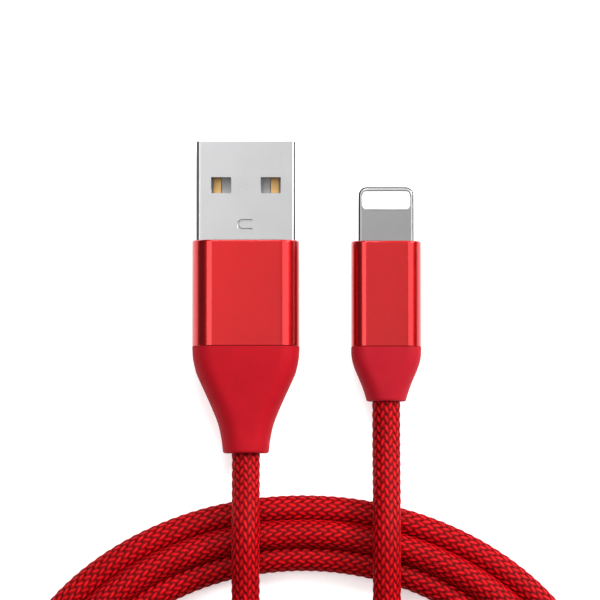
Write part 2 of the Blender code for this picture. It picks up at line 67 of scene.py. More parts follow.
class Plug:
    """A plug's places and sizes. Its nose is what stands out of the housing."""

    def __init__(self, name, nose):
        low, high = corners(f"{name}_housing")
        nose_low, nose_high = corners(nose)
        self.name = name
        self.body = f"{name}_plug"
        self.x, _, self.z = ((low + high) / 2).tolist()
        self.width, self.length, self.height = (high - low).tolist()
        self.back, self.shoulder = float(low[1]), float(high[1])
        self.nose_back, self.tip = float(nose_low[1]), float(nose_high[1])
        self.nose_w, self.nose_l, self.nose_h = (nose_high - nose_low).tolist()
        self.boot_end = float(corners(f"{name}_boot")[0][1])
        self.cord_front = float(corners(f"{name}_cord_end")[1][1])

    def loop(self, y, width, height, radius, steps=10):
        """A rounded rectangle across the plug at y, as points."""
        points = []
        for corner, (side_x, side_z) in enumerate(((1, 1), (-1, 1), (-1, -1), (1, -1))):
            middle_x = self.x + side_x * (width / 2 - radius)
            middle_z = self.z + side_z * (height / 2 - radius)
            for step in range(steps + 1):
                angle = math.pi / 2 * (corner + step / steps)
                across, up = radius * math.cos(angle), radius * math.sin(angle)
                points.append(Vector((middle_x + across, y, middle_z + up)))
        return points

    def ring(self, y, radius, steps=10):
        """A circle across the plug at y, as points."""
        return self.loop(y, 2 * radius, 2 * radius, 0.999 * radius, steps)


USB = Plug("usb", "usb_shell")
PHONE = Plug("phone", "phone_tab_frame")

CORD_R = 1.65 * MM

# Cord: its route in millimetres, close to the CAD model's. Turn 0 is the top of the coil's
# outermost turn, and -1 to -4 are the tops of those inside it. Each pair is a turn and how far
# it lies inside turn 0.
COIL_X, COIL_Y = 0.2, -54.93
COIL_A, COIL_B = 36.35, 29.35  # half width and half height at turn 0
SIDE_INSETS = ((0, 0.0), (-1, 3.05), (-2, 6.0), (-2.25, 6.85), (-3, 13.2), (-4, 17.0))
END_INSETS = (
    (0.5, -1.9),
    (0, 0.0),
    (-0.5, 1.4),
    (-1, 2.95),
    (-1.5, 4.6),
    (-2, 5.8),
    (-2.5, 7.9),
    (-3, 9.4),
    (-3.5, 11.3),
    (-4, 12.7),
    (-4.5, 14.6),
)
FIRST_TURN, LAST_TURN = -4.455, 0.41
SIDE_PINCH = 1.6  # the outer turns' sides and bottoms are this much narrower
PINCH_DOWN = (-0.62, 0.1)  # where the pinch comes in, on a scale from -1 at the top to 1
PINCH_FADES = (2.25, 3.0)  # the turns it fades out over, counted inwards
BOTTOM_LIFT = 1.5  # every turn's lower half is this much flatter
INNER_DROP, INNER_TURN = 3.75, -2.5  # turns inside this one have tops this much lower
RAISE = 1.26  # how much higher the second turn rides on its neighbours
CLIMBS, COMES_DOWN = (-1.442, -1.381), (-0.617, -0.556)  # the turns where it does so
FLOOR_Z = 1.72  # the cord's middle where it lies on the floor
USB_LEAD = (
    (-7.375, -17.9, 3.5),
    (-7.375, -19.15, 3.5),
    (-7.375, -21.5, 3.75),
    (-7.375, -24.0, 4.8),
    (-7.375, -26.2, 5.75),
    (-7.375, -29.3, 6.3),
    (-7.375, -32.6, 5.9),
    (-7.375, -36.0, 5.25),
    (-7.375, -39.6, 5.05),
    (-7.375, -43.2, 5.0),
    (-7.375, -46.8, 4.3),
    (-7.375, -50.5, 2.9),
    (-7.375, -54.2, 1.85),
    (-7.3, -57.5, 1.65),
    (-6.7, -60.8, 1.65),
    (-4.83, -64.0, 1.65),
    (-1.9, -66.5, 1.65),
    (1.4, -67.75, 1.65),
)
CROSSING = (
    (-14.6, -82.0, 1.8),
    (-10.6, -83.4, 2.5),
    (-6.4, -83.8, 3.75),
    (-2.2, -82.9, 4.8),
    (1.8, -80.7, 5.05),
    (5.3, -77.5, 5.05),
    (7.8, -73.8, 5.05),
    (9.2, -69.6, 5.05),
)
PHONE_LEAD = (
    (9.625, -11.8, 2.6),
    (9.625, -13.3, 2.6),
    (9.625, -16.0, 2.65),
    (9.625, -20.0, 3.4),
    (9.625, -23.6, 4.8),
    (9.625, -26.6, 5.8),
    (9.625, -29.8, 6.3),
    (9.625, -33.2, 5.9),
    (9.625, -36.5, 5.25),
    (9.625, -39.9, 5.05),
    (9.625, -43.6, 5.05),
    (9.625, -47.2, 4.4),
    (9.625, -51.2, 3.3),
    (9.625, -55.2, 2.8),
    (9.625, -58.8, 3.15),
    (9.625, -62.3, 4.1),
    (9.6, -65.8, 4.95),
)

# Braid: each yarn shows as a row of long beads that lean to one side. The columns of beads
# lean left and right in turn, and are half a stitch apart.
BRAID_R = 1.72 * MM  # over the tops of the yarns
COLUMNS = 20
STITCH = 1.2 * MM
BEAD_L, BEAD_W = 1.72 * MM, 0.64 * MM
BEAD_LEAN = math.radians(19)
BEAD_DEPTH = 0.38 * MM
FINE = 4  # mesh points for each column and for each stitch
AROUND = FINE * COLUMNS


# Camera: nearly straight above the plugs


def add_camera():
    target = Vector((-0.83, -0.25, 3.0)) * MM
    elevation, distance, view_width = math.radians(86.8), 0.5, 0.0728
    camera = bpy.data.cameras.new("camera")
    camera.type = "PERSP"
    camera.sensor_width = 36
    camera.lens = camera.sensor_width * distance / view_width
    camera.clip_start = 0.01
    holder = link(bpy.data.objects.new("camera", camera))
    back = Vector((0, -math.cos(elevation), math.sin(elevation)))
    holder.location = target + back * distance
    holder.rotation_euler = (math.pi / 2 - elevation, 0, 0)
    bpy.context.scene.camera = holder


# Mesh helpers


def link(obj):
    bpy.context.scene.collection.objects.link(obj)
    return obj


def add_piece(name, mesh, *materials):
    for material in materials:
        mesh.materials.append(material)
    return link(bpy.data.objects.new(name, mesh))


def shade(mesh, sharp):
    """Smooth shading, apart from edges sharper than an angle in degrees."""
    mesh.shade_smooth()
    mesh.set_sharp_from_angle(angle=math.radians(sharp))


def mesh_of(name, bm):
    bmesh.ops.recalc_face_normals(bm, faces=bm.faces)
    mesh = bpy.data.meshes.new(name)
    bm.to_mesh(mesh)
    bm.free()
    shade(mesh, 35)
    return mesh


def ease_edges(obj, width, segments, angle):
    """Rounds the edges sharper than an angle in degrees."""
    bevel = obj.modifiers.new("edges", "BEVEL")
    bevel.width = width
    bevel.segments = segments
    bevel.limit_method = "ANGLE"
    bevel.angle_limit = math.radians(angle)
    return bevel


def even_normals(obj):
    """Keeps the flats flat beside the rounded edges."""
    modifier = obj.modifiers.new("normals", "WEIGHTED_NORMAL")
    modifier.keep_sharp = True
    modifier.weight = 100
    return obj


def skin(name, loops, capped=False):
    """A skin through loops. Its ends are capped, or its last loop is joined to the first."""
    bm = bmesh.new()
    rings = [[bm.verts.new(point) for point in points] for points in loops]
    following = rings[1:] if capped else rings[1:] + rings[:1]
    for ring, other in zip(rings, following):
        for side in range(len(ring)):
            after = (side + 1) % len(ring)
            bm.faces.new((ring[side], ring[after], other[after], other[side]))
    if capped:
        bm.faces.new(rings[0])
        bm.faces.new(rings[-1])
    return mesh_of(name, bm)


def quarter(steps):
    """Sines and cosines from 0 to 90 degrees, for rounding an edge."""
    angles = [math.pi / 2 * step / steps for step in range(steps + 1)]
    return [(math.sin(angle), math.cos(angle)) for angle in angles]


def smooth_through(rows, steps):
    """Rows of numbers, smoothed through with Catmull and Rom's rule."""
    rows = [np.array(row, float) for row in rows]
    rows = [2 * rows[0] - rows[1]] + rows + [2 * rows[-1] - rows[-2]]
    out = []
    for before, start, end, after in zip(rows, rows[1:], rows[2:], rows[3:]):
        slope = end - before
        square = 2 * before - 5 * start + 4 * end - after
        cube = 3 * start - before - 3 * end + after
        for step in range(steps):
            t = step / steps
            out.append(0.5 * (2 * start + slope * t + square * t**2 + cube * t**3))
    out.append(rows[-2])
    return np.array(out)


def rounded_box(size, corner, segments):
    """A box about the origin with its upright edges rounded."""
    bm = bmesh.new()
    bmesh.ops.create_cube(bm, size=1.0)
    bmesh.ops.scale(bm, vec=size, verts=bm.verts)
    if corner:
        directions = {edge: edge.verts[0].co - edge.verts[1].co for edge in bm.edges}
        upright = [edge for edge, way in directions.items() if abs(way.normalized().z) > 0.9]
        bmesh.ops.bevel(
            bm, geom=upright, offset=corner, segments=segments, profile=0.5, affect="EDGES"
        )
    return bm


def box_mesh(name, centre, size, corner=0.0, segments=4):
    bm = rounded_box(size, corner, segments)
    bmesh.ops.translate(bm, vec=centre, verts=bm.verts)
    return mesh_of(name, bm)


def line_mesh(name, points, width, low, high):
    """An upright wall along an open line, with mitred corners."""
    points = [Vector(point) for point in points]
    left, right = [], []
    for index, point in enumerate(points):
        before = (point - points[index - 1]).normalized() if index else None
        after = (points[index + 1] - point).normalized() if index + 1 < len(points) else None
        before = before or after
        after = after or before
        middle = (before + after).normalized()
        normal = Vector((-middle.y, middle.x))
        reach = width / 2 / middle.dot(before)
        left.append(point + normal * reach)
        right.append(point - normal * reach)
    outline = left + right[::-1]
    bm = bmesh.new()
    bottom = [bm.verts.new((spot.x, spot.y, low)) for spot in outline]
    top = [bm.verts.new((spot.x, spot.y, high)) for spot in outline]
    last = len(outline) - 1
    for index in range(last + 1):
        after = (index + 1) % len(outline)
        bm.faces.new((bottom[index], bottom[after], top[after], top[index]))
    for index in range(len(points) - 1):
        other = last - index
        bm.faces.new((bottom[index], bottom[other], bottom[other - 1], bottom[index + 1]))
        bm.faces.new((top[index], top[index + 1], top[other - 1], top[other]))
    return mesh_of(name, bm)


def cut(target, mesh):
    """Cuts a mesh out of a piece, and keeps the result as the piece's mesh."""
    cutter = link(bpy.data.objects.new("cutter", mesh))
    modifier = target.modifiers.new("cut", "BOOLEAN")
    modifier.operation = "DIFFERENCE"
    modifier.solver = "EXACT"
    modifier.object = cutter
    graph = bpy.context.evaluated_depsgraph_get()
    result = bpy.data.meshes.new_from_object(target.evaluated_get(graph))
    target.modifiers.clear()
    target.data = result
    bpy.data.objects.remove(cutter)


# Materials


class Nodes:
    """Adds nodes to a material, one short call each."""

    def __init__(self, name, **constants):
        self.material = bpy.data.materials.new(name)
        self.material.use_nodes = True
        self.tree = self.material.node_tree
        self.shader = self.tree.nodes["Principled BSDF"]
        for socket, value in constants.items():
            self.shader.inputs[socket.replace("_", " ")].default_value = value

    def add(self, kind, inputs=(), **settings):
        node = self.tree.nodes.new(kind)
        for key, value in settings.items():
            setattr(node, key, value)
        for socket, value in dict(inputs).items():
            if isinstance(value, bpy.types.NodeSocket):
                self.tree.links.new(value, node.inputs[socket])
            else:
                node.inputs[socket].default_value = value
        return node

    def math(self, operation, a, b=0.0, c=0.0):
        node = self.add("ShaderNodeMath", {0: a, 1: b, 2: c}, operation=operation)
        return node.outputs[0]

    def place(self, stretch=(1, 1, 1)):
        """Object coordinates in millimetres, stretched."""
        coords = self.add("ShaderNodeTexCoord").outputs["Object"]
        inputs = {"Vector": coords, "Scale": [factor / MM for factor in stretch]}
        return self.add("ShaderNodeMapping", inputs).outputs["Vector"]

    def noise(self, vector, scale, detail=3.0, roughness=0.6):
        inputs = {"Vector": vector, "Scale": scale, "Detail": detail, "Roughness": roughness}
        return self.add("ShaderNodeTexNoise", inputs).outputs["Fac"]

    def attribute(self, name):
        return self.add("ShaderNodeAttribute", attribute_name=name).outputs["Fac"]

    def ramp(self, factor, stops):
        node = self.add("ShaderNodeValToRGB", {"Fac": factor})
        elements = node.color_ramp.elements
        while len(elements) < len(stops):
            elements.new(0.5)
        for element, (position, colour) in zip(elements, stops):
            element.position = position
            element.color = (*colour, 1.0)
        return node.outputs["Color"]

    def span(self, factor, low, high):
        """A factor of 0.3 to 0.7, as most noise has, spread from low to high."""
        inputs = {"Value": factor, 1: 0.3, 2: 0.7, 3: low, 4: high}
        return self.add("ShaderNodeMapRange", inputs).outputs["Result"]

    def scale_colour(self, colour, factor):
        node = self.add("ShaderNodeVectorMath", {0: colour}, operation="SCALE")
        self.tree.links.new(factor, node.inputs["Scale"])
        return node.outputs[0]

    def shaded_colour(self, colour, factor):
        """One colour, made lighter and darker over the surface."""
        rgb = self.add("ShaderNodeRGB").outputs[0]
        rgb.default_value = (*colour, 1.0)
        return self.scale_colour(rgb, factor)

    def bump(self, height, distance):
        inputs = {"Height": height, "Distance": distance, "Strength": 1.0}
        return self.add("ShaderNodeBump", inputs).outputs["Normal"]

    def to(self, socket, value):
        self.tree.links.new(value, self.shader.inputs[socket])


def plastic(name, colour, roughness=0.5, variation=0.06, grain=6.0, depth=0.004, **more):
    """Moulded plastic or rubber: fine grain, faint mottling and slightly uneven gloss."""
    nodes = Nodes(name, **more)
    place = nodes.place()
    mottle = nodes.noise(place, 0.5, 4.0)
    fine = nodes.noise(place, grain)
    tint = nodes.span(mottle, 1 - variation, 1 + variation)
    nodes.to("Base Color", nodes.shaded_colour(colour, tint))
    nodes.to("Roughness", nodes.span(fine, roughness - 0.05, roughness + 0.06))
    nodes.to("Normal", nodes.bump(fine, depth * MM))
    return nodes.material


def metal(name, colour, roughness, stretch=(1, 1, 1), grain=5.0, depth=0.002, **more):
    """Metal with drawn or blasted grain, and faint handling marks."""
    nodes = Nodes(name, Metallic=1.0, **more)
    fine = nodes.noise(nodes.place(stretch), grain, 2.0, 0.5)
    broad = nodes.noise(nodes.place(), 0.35, 4.0)
    nodes.to("Base Color", nodes.shaded_colour(colour, nodes.span(fine, 0.985, 1.015)))
    marks = nodes.math("ADD", nodes.span(broad, -0.02, 0.02), roughness)
    nodes.to("Roughness", nodes.math("ADD", nodes.span(fine, -0.01, 0.01), marks))
    nodes.to("Normal", nodes.bump(fine, depth * MM))
    return nodes.material


def braid_material():
    """Polyester yarns, streaked along each yarn, with a soft sheen. The colour is darkened in the
    crevices as painted shade.
    """
    nodes = Nodes(
        "braid",
        Sheen_Weight=0.02,
        Sheen_Roughness=0.35,
        Sheen_Tint=(1.0, 0.3, 0.35, 1.0),
        Specular_IOR_Level=0.06,
    )
    spot = nodes.add("ShaderNodeUVMap", uv_map="braid").outputs["UV"]
    parts = nodes.add("ShaderNodeSeparateXYZ", {"Vector": spot})
    column, stitch = parts.outputs["X"], parts.outputs["Y"]
    rising = nodes.math("ADD", column, stitch)
    falling = nodes.math("SUBTRACT", column, stitch)
    height = nodes.attribute("height")

    def streaks(across, along):
        """Fine lines that run one way."""
        x, y = nodes.math("MULTIPLY", across, 7.0), nodes.math("MULTIPLY", along, 0.9)
        vector = nodes.add("ShaderNodeCombineXYZ", {"X": x, "Y": y}).outputs[0]
        return nodes.noise(vector, 1.0, 2.0, 0.5)

    leans = {"Factor": nodes.attribute("right")}
    mix = nodes.add("ShaderNodeMix", leans, data_type="FLOAT")
    nodes.tree.links.new(streaks(falling, rising), mix.inputs[2])
    nodes.tree.links.new(streaks(rising, falling), mix.inputs[3])
    streak = mix.outputs[0]

    # Colour by the yarn's height: the crevices go near black, which is painted shade.
    stops = (
        (0.38, (0.003, 0.0, 0.0)),
        (0.62, (0.06, 0.0, 0.001)),
        (0.82, (0.3, 0.001, 0.003)),
        (1.0, (0.74, 0.005, 0.009)),
    )
    tint = nodes.math("MULTIPLY", nodes.span(streak, 0.72, 1.16), nodes.attribute("tone"))
    nodes.to("Base Color", nodes.scale_colour(nodes.ramp(height, stops), tint))
    duller = nodes.math("MULTIPLY_ADD", height, -0.55, 0.5)
    nodes.to("Roughness", nodes.math("ADD", nodes.span(streak, 0.38, 0.5), duller))
    nodes.to("Normal", nodes.bump(streak, 0.035 * MM))
    return nodes.material


# Cord


def inset_at(insets, turn):
    for (turn_a, inset_a), (turn_b, inset_b) in zip(insets, insets[1:]):
        if turn >= turn_b or turn_b == insets[-1][0]:
            return inset_a + (inset_b - inset_a) * (turn - turn_a) / (turn_b - turn_a)


def ease(value, start, end):
    """0 before the start, 1 after the end and a smooth rise between them."""
    share = min(max((value - start) / (end - start), 0.0), 1.0)
    return share * share * (3 - 2 * share)


def lane(turn):
    """Where the cord's middle lies at a turn of the coil, in millimetres."""
    angle = math.radians(90 + 360 * turn)
    half_width = COIL_A - inset_at(SIDE_INSETS, turn)
    half_height = COIL_B - inset_at(END_INSETS, turn)
    down = -math.sin(angle)
    half_width -= SIDE_PINCH * ease(down, *PINCH_DOWN) * (1 - ease(-turn, *PINCH_FADES))
    if down > 0:
        half_height -= BOTTOM_LIFT
    elif turn < INNER_TURN:
        half_height -= INNER_DROP
    up = RAISE * (ease(turn, *CLIMBS) - ease(turn, *COMES_DOWN))
    x = COIL_X + half_width * math.cos(angle)
    y = COIL_Y + half_height * math.sin(angle)
    return x, y, FLOOR_Z + up


def cord_path():
    """Evenly spaced points along the cord's middle, from the USB boot to the phone boot."""
    turns = np.arange(FIRST_TURN, LAST_TURN, 1 / 36)
    route = [*USB_LEAD, *map(lane, turns), *CROSSING, *reversed(PHONE_LEAD)]
    dense = smooth_through(route, 40)
    dense[:, 2] = np.maximum(dense[:, 2], FLOOR_Z)
    even = resample(dense, 0.1)
    for axis, reach in enumerate((12, 12, 15)):
        even[:, axis] = soften(even[:, axis], reach)
    return resample(even, STITCH / FINE / MM) * MM


def soften(values, reach):
    """Smooths a run of values over a reach of so many, and keeps its ends where they are."""
    far = 3 * reach
    weights = np.exp(-0.5 * (np.arange(-far, far + 1) / reach) ** 2)
    before = 2 * values[0] - values[far:0:-1]
    after = 2 * values[-1] - values[-2 : -far - 2 : -1]
    padded = np.concatenate((before, values, after))
    return np.convolve(padded, weights / weights.sum(), "valid")


def resample(points, step):
    """The same line with points a step apart."""
    lengths = np.linalg.norm(np.diff(points, axis=0), axis=1)
    along = np.concatenate(([0.0], np.cumsum(lengths)))
    count = int(round(along[-1] / step))
    spots = np.linspace(0, along[-1], count + 1)
    return np.stack([np.interp(spots, along, points[:, axis]) for axis in range(3)], 1)


def braid_surface(q, p):
    """The braid's height from 0 to 1, whether its yarn leans to the right, and its bead's
    number, at places given in columns round the cord and stitches along it."""
    pitch = 2 * math.pi * BRAID_R / COLUMNS
    height, right, bead = np.zeros(q.shape), np.zeros(q.shape), np.zeros(q.shape)
    for across in (-1, 0, 1):
        column = np.round(q) + across
        side = np.mod(column, 2)
        middle = np.round(p - side / 2) + side / 2
        lean = BEAD_LEAN * (2 * side - 1)
        for along in (-1, 0, 1):
            x = (q - column) * pitch
            y = (p - middle - along) * STITCH
            u = y * np.cos(lean) + x * np.sin(lean)
            v = x * np.cos(lean) - y * np.sin(lean)
            rise = 1 - np.abs(2 * u / BEAD_L) ** 2.4 - (2 * v / BEAD_W) ** 2
            rise = np.sqrt(np.maximum(0.0, rise))
            higher = rise > height
            height = np.where(higher, rise, height)
            right = np.where(higher, side, right)
            number = 7 * column + 5 * (middle + along)  # differs between neighbours
            bead = np.where(higher, number, bead)
    return height, right, bead


def braided_tube(name, path):
    """A tube with closed ends, whose surface is the braid's yarns."""
    rows = len(path)
    tangents = np.gradient(path, axis=0)
    tangents /= np.linalg.norm(tangents, axis=1)[:, None]
    sides = np.cross(tangents, (0.0, 0.0, 1.0))
    sides /= np.linalg.norm(sides, axis=1)[:, None]
    ups = np.cross(sides, tangents)
    p, q = np.meshgrid(np.arange(rows) / FINE, np.arange(AROUND) / FINE, indexing="ij")
    height, right, bead = braid_surface(q, p)
    angles = (2 * math.pi * q / COLUMNS)[..., None]
    out = np.cos(angles) * sides[:, None] + np.sin(angles) * ups[:, None]
    radius = BEAD_DEPTH * (height - 1) + BRAID_R
    points = (path[:, None] + radius[..., None] * out).reshape(-1, 3)

    row, column = np.meshgrid(np.arange(rows - 1), np.arange(AROUND), indexing="ij")
    here = row * AROUND + column
    after = row * AROUND + (column + 1) % AROUND
    quads = np.stack((here, here + AROUND, after + AROUND, after), 2).reshape(-1, 4).tolist()
    start, end = rows * AROUND, rows * AROUND + 1
    last = (rows - 1) * AROUND
    caps = [(start, spot, (spot + 1) % AROUND) for spot in range(AROUND)]
    caps += [(end, last + (spot + 1) % AROUND, last + spot) for spot in range(AROUND)]
    mesh = bpy.data.meshes.new(name)
    mesh.from_pydata(np.concatenate((points, path[[0, -1]])).tolist(), [], quads + caps)
    mesh.shade_smooth()

    left, low = column / FINE, row / FINE
    right_edge, high = left + 1 / FINE, low + 1 / FINE
    spots = np.stack((left, low, left, high, right_edge, high, right_edge, low), 2)
    uv = np.zeros(2 * len(mesh.loops), np.float32)
    uv[: spots.size] = spots.reshape(-1)
    mesh.uv_layers.new(name="braid").data.foreach_set("uv", uv)

    # Some beads are a little lighter than others
    tones = np.random.default_rng(5).uniform(0.84, 1.1, 97)
    tone = tones[np.mod(bead, len(tones)).astype(int)]
    for label, values in (("height", height), ("right", right), ("tone", tone)):
        attribute = mesh.attributes.new(label, "FLOAT", "POINT")
        attribute.data.foreach_set("value", np.append(values, (0, 0)).astype(np.float32))
    return mesh


def add_cord():
    path = cord_path()
    cord = add_piece("braided_cord", braided_tube("braided_cord", path), braid_material())
    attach(cord, "cord")
    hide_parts("cord_coil", "cord_usb_lead", "cord_phone_lead")


# Boots


class Boot(NamedTuple):
    plug: Plug
    rows: tuple  # the distance behind the housing, the width and the height, in millimetres
    insert_w: float  # across the stretch that the housing holds
    insert_h: float
    bend_from: float  # not used, nor is bend_to: it would follow the plug ahead of this, and the cord behind bend_to
    bend_to: float
    core_back: float  # where the cord's end meets the braid


USB_BOOT = Boot(
    plug=USB,
    rows=(
        (0.0, 13.0, 7.0),
        (1.5, 12.8, 6.9),
        (2.7, 12.3, 6.75),
        (3.5, 11.8, 6.6),
        (5.4, 10.1, 6.25),
        (7.4, 8.3, 5.9),
        (9.3, 6.8, 5.6),
        (11.0, 6.0, 5.4),
        (12.55, 5.6, 5.3),
    ),
    insert_w=11.9 * MM,
    insert_h=5.4 * MM,
    bend_from=-6.6 * MM,
    bend_to=-19.2 * MM,
    core_back=-17.95 * MM,
)
PHONE_BOOT = Boot(
    plug=PHONE,
    rows=(
        (0.0, 8.5, 5.2),
        (1.2, 8.4, 5.2),
        (2.5, 7.75, 5.15),
        (4.8, 5.85, 5.0),
        (6.25, 4.9, 4.8),
    ),
    insert_w=7.3 * MM,
    insert_h=4.0 * MM,
    bend_from=-6.4 * MM,
    bend_to=-12.8 * MM,
    core_back=-12.0 * MM,
)
BOOT_INSERT = 1.8 * MM  # how far a boot reaches into its housing
BOOT_GAP = 0.03 * MM  # between a boot's shoulder and its housing
BOOT_LIP = 0.04 * MM
BOOT_SIDES_FROM = 0.15 * MM  # behind the housing, where the lip has ended
BORE_R = CORD_R + 0.1 * MM
BORE_LIP = 0.12 * MM
CORE_R = 1.5 * MM


def bend(piece):
    """Bakes a piece's placement into its mesh."""
    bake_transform(piece)


def boot_insert(boot):
    """The stretch that the housing holds."""
    plug = boot.plug
    radius = 0.33 * min(boot.insert_w, boot.insert_h)
    places = (plug.back + BOOT_INSERT, plug.back + BOOT_INSERT / 3, plug.back - BOOT_GAP)
    return [plug.loop(y, boot.insert_w, boot.insert_h, radius) for y in places]


def boot_outside(boot):
    """The shoulder's small lip, the tapered sides and the rounded end."""
    plug = boot.plug
    length = plug.back - plug.boot_end
    rows = smooth_through(boot.rows, 9) * MM
    loops = []
    _, width, height = rows[0]
    for sine, cosine in quarter(3):
        inset = BOOT_LIP * (1 - sine)
        y = plug.back - BOOT_GAP - BOOT_LIP * (1 - cosine)
        w, h = width - 2 * inset, height - 2 * inset
        loops.append(plug.loop(y, w, h, 0.36 * h))
    for distance, width, height in rows:
        if distance >= BOOT_SIDES_FROM:
            radius = min(width, height) * (0.36 + 0.13 * distance / length)
            loops.append(plug.loop(plug.back - distance, width, height, radius))
    distance, width, height = rows[-1]
    rounding = length - distance
    for sine, cosine in quarter(5)[1:]:
        inset = 0.7 * rounding * (1 - cosine)
        y = plug.back - distance - rounding * sine
        w, h = width - 2 * inset, height - 2 * inset
        loops.append(plug.loop(y, w, h, 0.49 * min(w, h)))
    return loops


def boot_bore(boot):
    """The hole for the cord, wider at its mouth."""
    plug = boot.plug
    return [
        plug.ring(plug.boot_end, BORE_R + BORE_LIP),
        plug.ring(plug.boot_end + BORE_LIP, BORE_R),
        plug.ring(plug.back + BOOT_INSERT, BORE_R),
    ]


def add_boot(boot, material):
    """A moulded strain relief between its plug and the cord."""
    name = f"{boot.plug.name}_strain_relief"
    mesh = skin(name, boot_insert(boot) + boot_outside(boot) + boot_bore(boot))
    piece = add_piece(name, mesh, material)
    bend(piece)
    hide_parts(f"{boot.plug.name}_boot")


def add_core(boot, material):
    """The cord's end inside the boot and the housing."""
    name = f"{boot.plug.name}_cord_core"
    places = np.linspace(boot.core_back, boot.plug.cord_front, 31)
    mesh = skin(name, [boot.plug.ring(y, CORE_R, 5) for y in places], capped=True)
    piece = add_piece(name, mesh, material)
    bend(piece)
    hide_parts(f"{boot.plug.name}_cord_end")


def add_boots():
    rubber = dict(roughness=0.62, variation=0.05, grain=5.0, depth=0.006, Specular_IOR_Level=0.1)
    add_boot(USB_BOOT, plastic("usb_boot_red", (0.375, 0.003, 0.01), **rubber))
    add_boot(PHONE_BOOT, plastic("phone_boot_red", (0.36, 0.006, 0.015), **rubber))
    core_red = plastic(
        "braid_end", (0.5, 0.006, 0.014), roughness=0.6, variation=0.15, grain=3.0, depth=0.03
    )
    add_core(USB_BOOT, core_red)
    add_core(PHONE_BOOT, core_red)


# Housings

FRONT_WALL = 1.0 * MM
BACK_RIM, FRONT_RIM, MOUTH_RIM = 0.08 * MM, 0.22 * MM, 0.1 * MM


def add_housing(plug, radius, mouth, cavity, material):
    """A metal sleeve with a front wall, rounded rims and a mouth for the plug's nose. The mouth
    and the cavity each have a width, a height and a corner radius."""

    def rim(inset, y):
        return plug.loop(y, plug.width - 2 * inset, plug.height - 2 * inset, radius - inset)

    loops = []
    for sine, cosine in quarter(5):
        loops.append(rim(BACK_RIM * (1 - sine), plug.back + BACK_RIM * (1 - cosine)))
    for sine, cosine in reversed(quarter(5)):
        loops.append(rim(FRONT_RIM * (1 - sine), plug.shoulder - FRONT_RIM * (1 - cosine)))
    mouth_w, mouth_h, mouth_r = mouth
    for sine, cosine in quarter(3):
        spread = MOUTH_RIM * (1 - sine)
        y = plug.shoulder - MOUTH_RIM * (1 - cosine)
        loops.append(plug.loop(y, mouth_w + 2 * spread, mouth_h + 2 * spread, mouth_r + spread))
    wall_y = plug.shoulder - FRONT_WALL
    loops += [plug.loop(wall_y, *mouth), plug.loop(wall_y, *cavity), plug.loop(plug.back, *cavity)]
    name = f"{plug.name}_housing_sleeve"
    housing = even_normals(add_piece(name, skin(name, loops), material))
    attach(housing, plug.body)
    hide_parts(f"{plug.name}_housing")


def add_housings():
    # Blasted and dyed aluminium under its clear sealed layer
    red = metal(
        "anodised_red",
        (0.47, 0.003, 0.005),
        roughness=0.3,
        stretch=(1, 0.25, 1),
        grain=7.0,
        depth=0.0006,
        Coat_Weight=0.85,
        Coat_Roughness=0.12,
        Coat_IOR=1.45,
    )
    usb_mouth, usb_cavity = (12.2 * MM, 4.7 * MM, 0.75 * MM), (12.2 * MM, 5.7 * MM, 2.1 * MM)
    add_housing(USB, 2.5 * MM, usb_mouth, usb_cavity, red)
    phone_mouth, phone_cavity = (6.9 * MM, 1.7 * MM, 0.3 * MM), (7.5 * MM, 4.2 * MM, 1.4 * MM)
    add_housing(PHONE, 1.9 * MM, phone_mouth, phone_cavity, red)


# USB shell

SHELL_WALL, SHELL_R = 0.3 * MM, 0.5 * MM
SHELL_LIP = 0.09 * MM
WINDOW_X, WINDOW_FROM_TIP = 3.0 * MM, 5.35 * MM
WINDOW_W, WINDOW_L, WINDOW_R = 2.4 * MM, 1.9 * MM, 0.12 * MM
MARK_W, MARK_DEPTH = 0.2 * MM, 0.27 * MM
SEAM_W, SEAM_DEPTH = 0.07 * MM, 0.12 * MM
# The lines of the mark and the seam in millimetres, from the middle and ahead of the housing
MARK_Y = 1.87
MARK = ((0.76, 0.54), (-0.58, 0.54), (-0.9, 0.27), (-0.9, -0.27), (-0.58, -0.54), (0.76, -0.54))
SEAM = ((0, 13.0), (0, 7.4), (0.9, 6.9), (0.9, 5.3), (0, 4.8), (0, -1.0))


def shell_loops():
    """Back to front along the outside, and back again along the inside."""
    width, height = USB.nose_w, USB.nose_h
    inner_w, inner_h = width - 2 * SHELL_WALL, height - 2 * SHELL_WALL
    inner_r = SHELL_R - SHELL_WALL
    loops = [USB.loop(USB.nose_back, width, height, SHELL_R)]
    for sine, cosine in quarter(4):
        inset = SHELL_LIP * (1 - cosine)
        y = USB.tip - SHELL_LIP * (1 - sine)
        loops.append(USB.loop(y, width - 2 * inset, height - 2 * inset, SHELL_R - inset))
    for sine, cosine in quarter(4):
        spread = SHELL_LIP * (1 - sine)
        y = USB.tip - SHELL_LIP * (1 - cosine)
        loops.append(USB.loop(y, inner_w + 2 * spread, inner_h + 2 * spread, inner_r + spread))
    loops.append(USB.loop(USB.nose_back, inner_w, inner_h, inner_r))
    return loops


def paint_dark_corner_reflection(mesh):
    """Gives the slanting faces of the shell's outer corners its second material, a near-black steel that
    is a painted dark reflection.
    """
    corner_x = USB.nose_w / 2 - SHELL_R
    for face in mesh.polygons:
        outer = abs(face.center.x - USB.x) > corner_x and abs(face.normal.y) < 0.1
        if outer and 0.4 < abs(face.normal.z) < 0.8:
            face.material_index = 1


